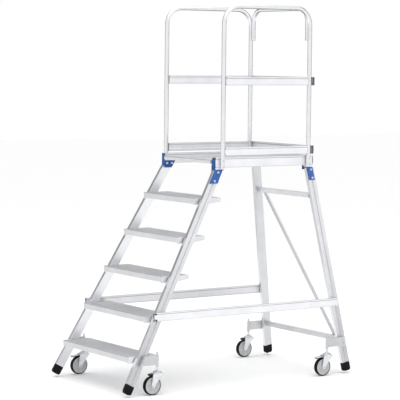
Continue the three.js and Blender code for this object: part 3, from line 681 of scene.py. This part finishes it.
def make_board_fixings():
    """Screws through the ends of the knee rails and toe boards into the posts."""
    bm = bmesh.new()
    for board in ("knee_rail", "toe_board"):
        for side, s in SIDES.items():
            low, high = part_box(f"{board}_{side}")
            inner = (low.x + high.x) / 2 - s * (high.x - low.x) / 2
            middle = (low.z + high.z) / 2
            for y in (low.y + 14 * MM, high.y - 14 * MM):
                at = Vector((inner + s * SCREW_DEPTH, y, middle))
                dome_head(bm, facing(at, X_AXIS * s), 5 * MM, 2.6 * MM)
        low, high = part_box(f"{board}_rear")
        middle = (low.z + high.z) / 2
        for s in SIDES.values():
            x = s * (high.x - 15 * MM)
            at = Vector((x, low.y + SCREW_DEPTH, middle))
            hex_bolt(bm, facing(at, Y_AXIS), *M6)
    finish_mesh(bm, "board_screws", STEEL, "frame")


make_board_fixings()

# ---- Feet ----

FOOT_GAP = 0.3 * MM
FOOT_HALF_WIDTH = 29.2 * MM
FOOT_THICKNESS = 25.6 * MM
SOLE_RADIUS = 17 * MM
SOLE_POINTS = 10
SOLE_STEP = 10
GRIP_SPACING = 7 * MM
GRIP_DEPTH = 1.6 * MM
PLUG_HALF_WIDTH = 26 * MM
PLUG_OVERLAP = 2 * MM
PLUG_THICKNESS = 14 * MM
# How far the plug's inner side is from the centreline, on the side away from the groove.
PLUG_INSET = 9.5 * MM


def make_foot(foot, rail, member):
    """A rubber block with a rounded, grooved sole, on a plug inside the end of a stringer or leg."""
    def lengths(node):
        return [(v.co - member.floor).dot(member.along) for v in NODES[node].data.vertices]

    start, top = min(lengths(foot)) + FOOT_GAP, max(lengths(foot))
    end = min(lengths(rail)) - FOOT_GAP
    half, radius = FOOT_HALF_WIDTH, SOLE_RADIUS
    outline = [(half, end), (-half, end)]
    for middle, first in ((radius - half, 180), (half - radius, 270)):
        for k in range(SOLE_POINTS):
            angle = math.radians(first + k * SOLE_STEP)
            outline.append((middle + radius * math.cos(angle), start + radius * (1 + math.sin(angle))))
        if middle < 0:
            # Grip grooves cross the flat of the sole.
            for k in range(-1, 2):
                centre = k * GRIP_SPACING
                outline += [
                    (centre - 1.6 * MM, start), (centre - 1.0 * MM, start + GRIP_DEPTH),
                    (centre + 1.0 * MM, start + GRIP_DEPTH), (centre + 1.6 * MM, start),
                ]
    turn = Matrix((member.across, member.along, member.out)).transposed().to_4x4()
    place = Matrix.Translation(member.floor) @ turn
    bm = bmesh.new()
    prism(bm, outline, FOOT_THICKNESS, place @ Matrix.Translation((0, 0, -FOOT_THICKNESS / 2)))
    piece = finish_mesh(bm, f"{foot}_block", RUBBER, "frame")
    round_edges(piece, 1.6 * MM, 3)
    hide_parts(foot)
    bm = bmesh.new()
    half, low = PLUG_HALF_WIDTH, end - PLUG_OVERLAP
    plug = [(half, low), (-half, low), (-half, top), (half, top)]
    prism(bm, plug, PLUG_THICKNESS, place @ Matrix.Translation((0, 0, -PLUG_INSET)))
    round_edges(finish_mesh(bm, f"{foot}_plug", RUBBER, "frame"), 1 * MM)


for side_name in SIDES:
    make_foot(f"foot_front_{side_name}", f"stringer_{side_name}", STRINGERS[side_name])
    make_foot(f"foot_rear_{side_name}", f"rear_leg_{side_name}", LEGS[side_name])

# ---- Closures ----

CAP_SINK = 0.2 * MM
BOARD_CAP = 2.6 * MM
BEAM_CAP = 2.4 * MM
CAP_MARGIN = 0.4 * MM
CAP_CORNER = 2 * MM


def make_end_caps():
    """Moulded caps close the ends of the rear boards and of the side beams."""
    bm = bmesh.new()
    for board in ("knee_rail_rear", "toe_board_rear"):
        low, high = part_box(board)
        middle = (low + high) / 2
        section = rounded_rectangle((high.y - low.y) / 2, (high.z - low.z) / 2, CAP_CORNER)
        for s in SIDES.values():
            end = Vector((s * (high.x - CAP_SINK), middle.y, middle.z))
            prism(bm, section, BOARD_CAP, facing(end, X_AXIS * s))
    for side in SIDES:
        low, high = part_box(f"platform_beam_{side}")
        half_x, half_z = (high.x - low.x) / 2 - CAP_MARGIN, BEAM_HEIGHT / 2 - CAP_MARGIN
        end = Vector(((low.x + high.x) / 2, high.y - CAP_SINK, high.z - BEAM_HEIGHT / 2))
        prism(bm, rounded_rectangle(half_x, half_z, CAP_CORNER), BEAM_CAP, facing(end, Y_AXIS))
    round_edges(finish_mesh(bm, "end_caps", DARK_PLASTIC, "frame"), 0.6 * MM)


make_end_caps()

# ---- Fasteners on the frame ----

BOLT_SINK = 0.2 * MM
RIVET_SINK = 0.3 * MM


def make_bracket_bolts():
    """Two bolts through each bracket into its stringer or leg, and two into the platform."""
    for side, s in SIDES.items():
        for end, members in (("front", STRINGERS), ("rear", LEGS)):
            node = f"corner_bracket_{end}_{side}"
            low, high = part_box(node)
            member = members[side]
            widest = max(abs(low.x), abs(high.x))
            narrowest = min(abs(low.x), abs(high.x))
            bm = bmesh.new()
            for rise in (15 * MM, 70 * MM):
                z = low.z + rise
                x = widest - rise * member.slope
                at = Vector((s * (x - BOLT_SINK), member.at(z).y, z))
                hex_bolt(bm, facing(at, Vector((s, 0, member.slope))), *M8)
            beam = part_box(f"platform_beam_{side}")[0].y
            if end == "front":
                places = [(beam + 12 * MM, high.z - 58 * MM), (beam + 50 * MM, high.z - 58 * MM)]
            else:
                places = [(low.y + 15 * MM, high.z - 12 * MM), (low.y + 15 * MM, high.z - 34 * MM)]
            for y, z in places:
                at = Vector((s * (narrowest + BOLT_SINK), y, z))
                hex_bolt(bm, facing(at, X_AXIS * -s), *M8)
            finish_mesh(bm, f"bracket_bolts_{end}_{side}", STEEL, "frame")


make_bracket_bolts()


TREADS = 5


def make_tread_screws():
    """Two screws in the groove of each stringer hold each tread's end."""
    for side, member in STRINGERS.items():
        bm = bmesh.new()
        for k in range(1, TREADS + 1):
            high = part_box(f"tread_{k}")[1]
            for drop in (8 * MM, 30 * MM):
                z = high.z - drop
                floor_of_groove = member.at(z) + member.out * (RAIL_HALF_WIDTH - GROOVE_DEPTH)
                dome_head(bm, facing(floor_of_groove, member.out), 4 * MM, 3 * MM)
        finish_mesh(bm, f"tread_screws_{side}", STEEL, "frame")


make_tread_screws()


def make_brace_bolts():
    """Two dark bolts hold the front end of each side brace, and four bright rivets its rear end."""
    for side, s in SIDES.items():
        low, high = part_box(f"side_brace_{side}")
        slope = STRINGERS[side].slope
        middle = (low.z + high.z) / 2
        widest = max(abs(low.x), abs(high.x))
        dark, bright = bmesh.new(), bmesh.new()
        for rise in (-19 * MM, 19 * MM):
            face = widest - (middle + rise - low.z) * slope
            outward = Vector((s, 0, slope))
            at = Vector((s * (face - RIVET_SINK), low.y + 9 * MM, middle + rise))
            hex_bolt(dark, facing(at, outward), 10 * MM, 5.5 * MM)
            for back in (24 * MM, 50 * MM):
                at = Vector((s * (face - RIVET_SINK), high.y - back, middle + rise))
                dome_head(bright, facing(at, outward), 5 * MM, 3 * MM)
        finish_mesh(dark, f"brace_bolts_front_{side}", DARK_STEEL, "frame")
        finish_mesh(bright, f"brace_rivets_rear_{side}", STEEL, "frame")


make_brace_bolts()

CLEAT_ANGLE_MM = [(-26, 0), (-0.4, 0), (-0.4, 24), (-3.4, 24), (-3.4, 3), (-26, 3)]
CLEAT_LENGTH = 26 * MM
# From a crossbar's centreline to the face that its cleat lies on.
CROSSBAR_FACE = 9.8 * MM
DIAGONAL_END = 14 * MM


def make_crossbar_fixings():
    """An angle cleat with two bolts holds each end of a crossbar, and a bolt each end of the diagonal."""
    up = LEGS["right"].along.copy()
    up.x = 0
    up.normalize()
    back = X_AXIS.cross(up) * -1
    cleats, bolts = bmesh.new(), bmesh.new()
    angle = [(x * MM, y * MM) for x, y in CLEAT_ANGLE_MM]
    for level in ("upper", "lower"):
        low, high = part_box(f"rear_crossbar_{level}")
        middle = (low + high) / 2
        for s in SIDES.values():
            corner = Vector((s * high.x, middle.y, middle.z)) - back * CROSSBAR_FACE
            turn = Matrix((X_AXIS * s, -back, up)).transposed().to_4x4()
            place = Matrix.Translation(corner) @ turn
            prism(cleats, angle, CLEAT_LENGTH, place @ Matrix.Translation((0, 0, -CLEAT_LENGTH / 2)))
            hex_bolt(bolts, facing(place @ Vector((-15 * MM, 2.9 * MM, 0)), -back), *M6)
            hex_bolt(bolts, facing(place @ Vector((-3.3 * MM, 14 * MM, 0)), X_AXIS * -s), *M5)
    ends = [v.co.copy() for v in NODES["rear_diagonal"].data.vertices]
    rearmost = max(point.dot(back) for point in ends)
    tips = [[p for p in ends if p.x < 0], [p for p in ends if p.x > 0]]
    tips = [sum(tip, Vector()) / len(tip) for tip in tips]
    run = (tips[1] - tips[0]).normalized()
    for tip, inward in zip(tips, (run, -run)):
        at = tip + inward * DIAGONAL_END
        at += back * (rearmost - at.dot(back) - RIVET_SINK)
        hex_bolt(bolts, facing(at, back), *M6)
    round_edges(finish_mesh(cleats, "crossbar_cleats", PALE_STEEL, "frame"), 0.5 * MM)
    finish_mesh(bolts, "crossbar_bolts", STEEL, "frame")


make_crossbar_fixings()

# ---- Casters ----

WHEEL_SIDES = 72
ROUND_SIDES = 40
AXLE_SIDES = 24
PIN_SIDES = 20
FORK_SHEET = 3 * MM
FORK_HALF_WIDTH = 22.3 * MM
CROWN_HALF_LENGTH = 37 * MM
CROWN_CORNER = 7 * MM
CROWN_SETBACK = 3 * MM
CROWN_Z = 134.2 * MM
BOSS_RADIUS_MM = 13
PEDAL_WIDTH = 33 * MM
SHOE_WIDTH = 28 * MM
LONG_PEDAL = 60 * MM
TYRE_GAP = 0.05 * MM


def in_mm(points):
    """Points given in millimetres, in metres."""
    return [(a * MM, b * MM) for a, b in points]


def across(point):
    """A placement at a point, whose +Z points along +X."""
    return Matrix.Translation(point) @ Matrix.Rotation(math.pi / 2, 4, "Y")


def side_on(stem):
    """A placement under a stem for an outline of (y, z), whose +Z points along +X."""
    turn = Matrix((Y_AXIS, Z_AXIS, X_AXIS)).transposed().to_4x4()
    return Matrix.Translation((stem.x, stem.y, 0)) @ turn


def both_halves(half):
    """A closed profile from its half on the -Z side."""
    return half + [(r, -z) for r, z in half[::-1]] + [half[0]]


def make_wheel(place, centre, radius):
    """A tyre round a hub with a boss, a web and a rim."""
    bm = bmesh.new()
    r = radius / MM
    half = [(53.2, -13), (53.6, -14.6), (55, -15.6), (56.5, -15.4), (r - 1.4, -13.6), (r - 0.5, -11), (r, -7)]
    lathe(bm, in_mm(both_halves(half)), WHEEL_SIDES, across(centre))
    tyre = finish_mesh(bm, f"wheel_tyre_{place}", RUBBER, f"wheel_{place}", sharp=50)
    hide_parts(f"tyre_{place}")

    bm = bmesh.new()
    half = [(5.2, -17), (11.5, -17), (12.6, -16), (13.2, -11.8), (15, -11), (25.5, -11), (26.5, -9.8),
            (28, -9.2), (41, -9.2), (43, -10.4), (45.5, -12.6), (47.5, -13.2), (51.5, -13.2), (52.9, -12.2)]
    lathe(bm, in_mm(both_halves(half)), WHEEL_SIDES, across(centre))
    hub = finish_mesh(bm, f"hub_{place}", GREY_PLASTIC, f"wheel_{place}")
    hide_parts(f"wheel_hub_{place}")


def cheek_outline(trail, wheel_z):
    """The (y, z) outline of a fork cheek, from the crown down to a round boss on the axle. It takes mm."""
    points = [(-40, 135), (-43, 118), (-46.5, 96), (-50, 72)]
    for k in range(9):
        angle = math.radians(170 + k * 22.5)
        reach, rise = BOSS_RADIUS_MM * math.cos(angle), BOSS_RADIUS_MM * math.sin(angle)
        points.append((-trail + reach, wheel_z + rise))
    points += [(-18, 70), (-4, 88), (12, 108), (25, 121), (31, 128), (33.5, 135)]
    return in_mm(points)


def make_fork(place, stem, centre):
    """Two cheeks and a crown of sheet, the swivel race on top and the axle with its heads."""
    local = Matrix.Translation((stem.x, stem.y, 0))
    outline = cheek_outline((stem.y - centre.y) / MM, centre.z / MM)
    bm = bmesh.new()
    for x in (-FORK_HALF_WIDTH, FORK_HALF_WIDTH - FORK_SHEET):
        prism(bm, outline, FORK_SHEET, side_on(stem) @ Matrix.Translation((0, 0, x)))
    crown = rounded_rectangle(FORK_HALF_WIDTH, CROWN_HALF_LENGTH, CROWN_CORNER)
    crown = [(x, y - CROWN_SETBACK) for x, y in crown]
    prism(bm, crown, FORK_SHEET, local @ Matrix.Translation((0, 0, CROWN_Z)))
    fork = finish_mesh(bm, f"fork_{place}", PALE_STEEL, f"fork_{place}")
    round_edges(fork, 0.9 * MM)
    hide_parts(f"caster_fork_{place}")

    bm = bmesh.new()
    lathe(bm, in_mm([
        (6.4, 137.2), (28.4, 137.2), (29.5, 138), (29.5, 140.2), (28, 141.4), (25.4, 141.8), (25.4, 142.6),
        (26, 143.2), (25.4, 145), (22, 147.6), (18, 148.9), (6.4, 148.9), (6.4, 137.2),
    ]), ROUND_SIDES, local)
    finish_mesh(bm, f"swivel_race_{place}", PALE_STEEL, f"fork_{place}")

    bm = bmesh.new()
    lathe(bm, in_mm([(0, -22), (4.9, -22), (4.9, 22), (0, 22)]), AXLE_SIDES, across(centre))
    for face in (-1, 1):
        dome_head(bm, facing(centre + X_AXIS * (face * 22.2 * MM), X_AXIS * face), 7.5 * MM, 2.8 * MM)
    finish_mesh(bm, f"axle_{place}", STEEL, f"fork_{place}")


def make_spindle(place, stem):
    """A stem with a bearing cap and a nut below, up to its pointed tip."""
    local = Matrix.Translation((stem.x, stem.y, 0))
    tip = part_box(f"caster_spindle_{place}")[1].z / MM
    bm = bmesh.new()
    lathe(bm, in_mm([
        (0, 133), (6.1, 133), (6.1, 149.5), (11.2, 149.5), (12, 150.3), (12, 154), (11.2, 154.9), (8, 155.4),
        (6, 157), (6, tip - 9), (4.6, tip - 5), (2.2, tip - 1), (0, tip),
    ]), ROUND_SIDES, local)
    nut = in_mm([(0, 127.2), (8.2, 127.2), (9.2, 128.2), (9.2, 132.6), (8.2, 133.5), (0, 133.5)])
    lathe(bm, nut, 6, local)
    spindle = finish_mesh(bm, f"spindle_{place}", STEEL, f"spindle_{place}")
    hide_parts(f"caster_spindle_{place}")


def make_brake(place, stem, pin):
    """A sheet pedal on its pin with a moulded shoe under it. The CAD model says if it is long or short."""
    low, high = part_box(f"brake_pedal_{place}")
    is_long = high.y - low.y > LONG_PEDAL
    if is_long:
        tip = [(-40, 132.3), (-72, 127.9), (-91.5, 124.8), (-94.5, 120.6), (-91, 121.4), (-71, 124.8)]
        heel = [(-71, 124.5), (-90, 121.1), (-92.5, 119.2), (-92, 115.8), (-68, 119.6)]
    else:
        tip = [(-40, 132.8), (-57, 132.8), (-60.5, 130.2), (-60.5, 127), (-58, 129.5)]
        heel = [(-57, 129.2), (-60, 126.6), (-59.6, 121.2)]
    bm = bmesh.new()
    lever = [(-20, 127.5), (-20, 130), (-26, 132.3), *tip, (-40, 129.3), (-27, 129.2)]
    prism(bm, in_mm(lever), PEDAL_WIDTH, side_on(stem) @ Matrix.Translation((0, 0, -PEDAL_WIDTH / 2)))
    lathe(bm, in_mm([(0, -22), (3, -22), (3, 22), (0, 22)]), PIN_SIDES, across(pin))
    look, slot = (STEEL, "zinc_steel") if is_long else (BLACK_PLASTIC, "black_plastic")
    piece = finish_mesh(bm, f"pedal_plate_{place}", look, f"pedal_{place}")
    round_edges(piece, 0.7 * MM)
    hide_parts(f"brake_pedal_{place}")
    bm = bmesh.new()
    shoe = [(-20.5, 124.2), (-20.5, 127.2), (-27, 128.9), (-40, 129.0), *heel, (-42, 123.6), (-28, 122.8)]
    prism(bm, in_mm(shoe), SHOE_WIDTH, side_on(stem) @ Matrix.Translation((0, 0, -SHOE_WIDTH / 2)))
    piece = finish_mesh(bm, f"brake_shoe_{place}", BLACK_PLASTIC, f"pedal_{place}")
    round_edges(piece, 0.9 * MM)


# A caster arm's plate starts this far above the lower end of its guide tube, and is this high.
ARM_RISE = 15 * MM
ARM_HEIGHT = 59 * MM


def make_arm_bolts(place, side, member):
    """Two bolts through a caster arm's plate into its stringer or leg."""
    low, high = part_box(f"caster_arm_{place}")
    s = SIDES[side]
    widest = max(abs(low.x), abs(high.x))
    bm = bmesh.new()
    for share in (0.3, 0.7):
        z = low.z + ARM_RISE + share * ARM_HEIGHT
        y = member.at(z).y + (10 * MM if place.startswith("front") else -4 * MM)
        x = widest - (z - low.z - ARM_RISE) * member.slope
        hex_bolt(bm, facing(Vector((s * (x - BOLT_SINK), y, z)), Vector((s, 0, member.slope))), *M8)
    finish_mesh(bm, f"arm_bolts_{place}", STEEL, "frame")


def make_casters():
    for place in PLACES:
        stem = Vector(JOINTS[f"swivel_{place}"]["pos_m"])
        centre = Vector(JOINTS[f"roll_{place}"]["pos_m"])
        pin = Vector(JOINTS[f"brake_{place}"]["pos_m"])
        make_wheel(place, centre, centre.z - TYRE_GAP)
        make_fork(place, stem, centre)
        make_spindle(place, stem)
        make_brake(place, stem, pin)
        end, side = place.split("_")
        make_arm_bolts(place, side, (STRINGERS if end == "front" else LEGS)[side])


make_casters()

# ---- Studio ----

FLOOR_HALF_SIZE = 30
FLOOR_DROP = 0.2 * MM
LIGHT_PLACE = Vector((1.0, -0.5, 6))
LIGHT_SIZE = 6
LIGHT_POWER = 130
FLAG_AZIMUTHS = (math.radians(104), math.radians(187))
# Each is (direction, cosine at its edge, cosine at its core, change in brightness).
GLOWS = [((math.cos(angle), math.sin(angle), 0.15), 0.80, 0.93, -0.88) for angle in FLAG_AZIMUTHS]
GLOWS.append(((0, 0, 1), 0.6, 0.9, 0.26))


def make_studio():
    bpy.context.scene.view_settings.view_transform = "Standard"
    low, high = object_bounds()
    centre = (low + high) / 2

    bm = bmesh.new()
    bmesh.ops.create_grid(bm, x_segments=1, y_segments=1, size=FLOOR_HALF_SIZE)
    mesh = bpy.data.meshes.new("floor")
    bm.to_mesh(mesh)
    bm.free()
    floor = bpy.data.objects.new("floor", mesh)
    floor.location.z = low.z - FLOOR_DROP
    bpy.context.scene.collection.objects.link(floor)
    s = Surface("pale_floor", 0.0, 0.2)
    paper = s.noise(s.place, 3.0, 2.0)
    s.link(s.blend(paper, (0.98, 0.98, 0.98), (0.99, 0.99, 0.99)), s.shader.inputs["Base Color"])
    s.shader.inputs["Roughness"].default_value = 0.9
    mesh.materials.append(s.material)

    make_surround()
    data = bpy.data.lights.new("overhead", "AREA")
    data.shape = "SQUARE"
    data.size = LIGHT_SIZE
    data.energy = LIGHT_POWER
    light = bpy.data.objects.new("overhead", data)
    light.location = LIGHT_PLACE
    light.rotation_euler = (centre - light.location).to_track_quat("-Z", "Y").to_euler()
    bpy.context.scene.collection.objects.link(light)


def make_surround():
    """A white room, brightest overhead, with two dark flags beyond the ladder that edge its metal. The
    camera itself sees plain white, so the flags show only in reflections."""
    world = bpy.data.worlds.new("studio")
    world.use_nodes = True
    bpy.context.scene.world = world
    tree = world.node_tree
    towards = tree.nodes.new("ShaderNodeTexCoord").outputs["Generated"]
    total = None
    for direction, edge, core, change in GLOWS:
        spot = tree.nodes.new("ShaderNodeVectorMath")
        spot.operation = "DOT_PRODUCT"
        tree.links.new(towards, spot.inputs[0])
        spot.inputs[1].default_value = direction
        glow = tree.nodes.new("ShaderNodeMapRange")
        glow.interpolation_type = "SMOOTHSTEP"
        for socket, value in (("From Min", edge), ("From Max", core), ("To Min", 0), ("To Max", change)):
            glow.inputs[socket].default_value = value
        tree.links.new(spot.outputs["Value"], glow.inputs["Value"])
        add = tree.nodes.new("ShaderNodeMath")
        tree.links.new(glow.outputs["Result"], add.inputs[0])
        if total is None:
            add.inputs[1].default_value = 1.0
        else:
            tree.links.new(total, add.inputs[1])
        total = add.outputs[0]
    seen = tree.nodes.new("ShaderNodeMix")
    seen.data_type = "FLOAT"
    seen.inputs["B"].default_value = 1.0
    tree.links.new(tree.nodes.new("ShaderNodeLightPath").outputs["Is Camera Ray"], seen.inputs["Factor"])
    tree.links.new(total, seen.inputs["A"])
    tree.links.new(seen.outputs["Result"], tree.nodes["Background"].inputs["Strength"])
    tree.nodes["Background"].inputs["Color"].default_value = (1, 1, 1, 1)


make_studio()
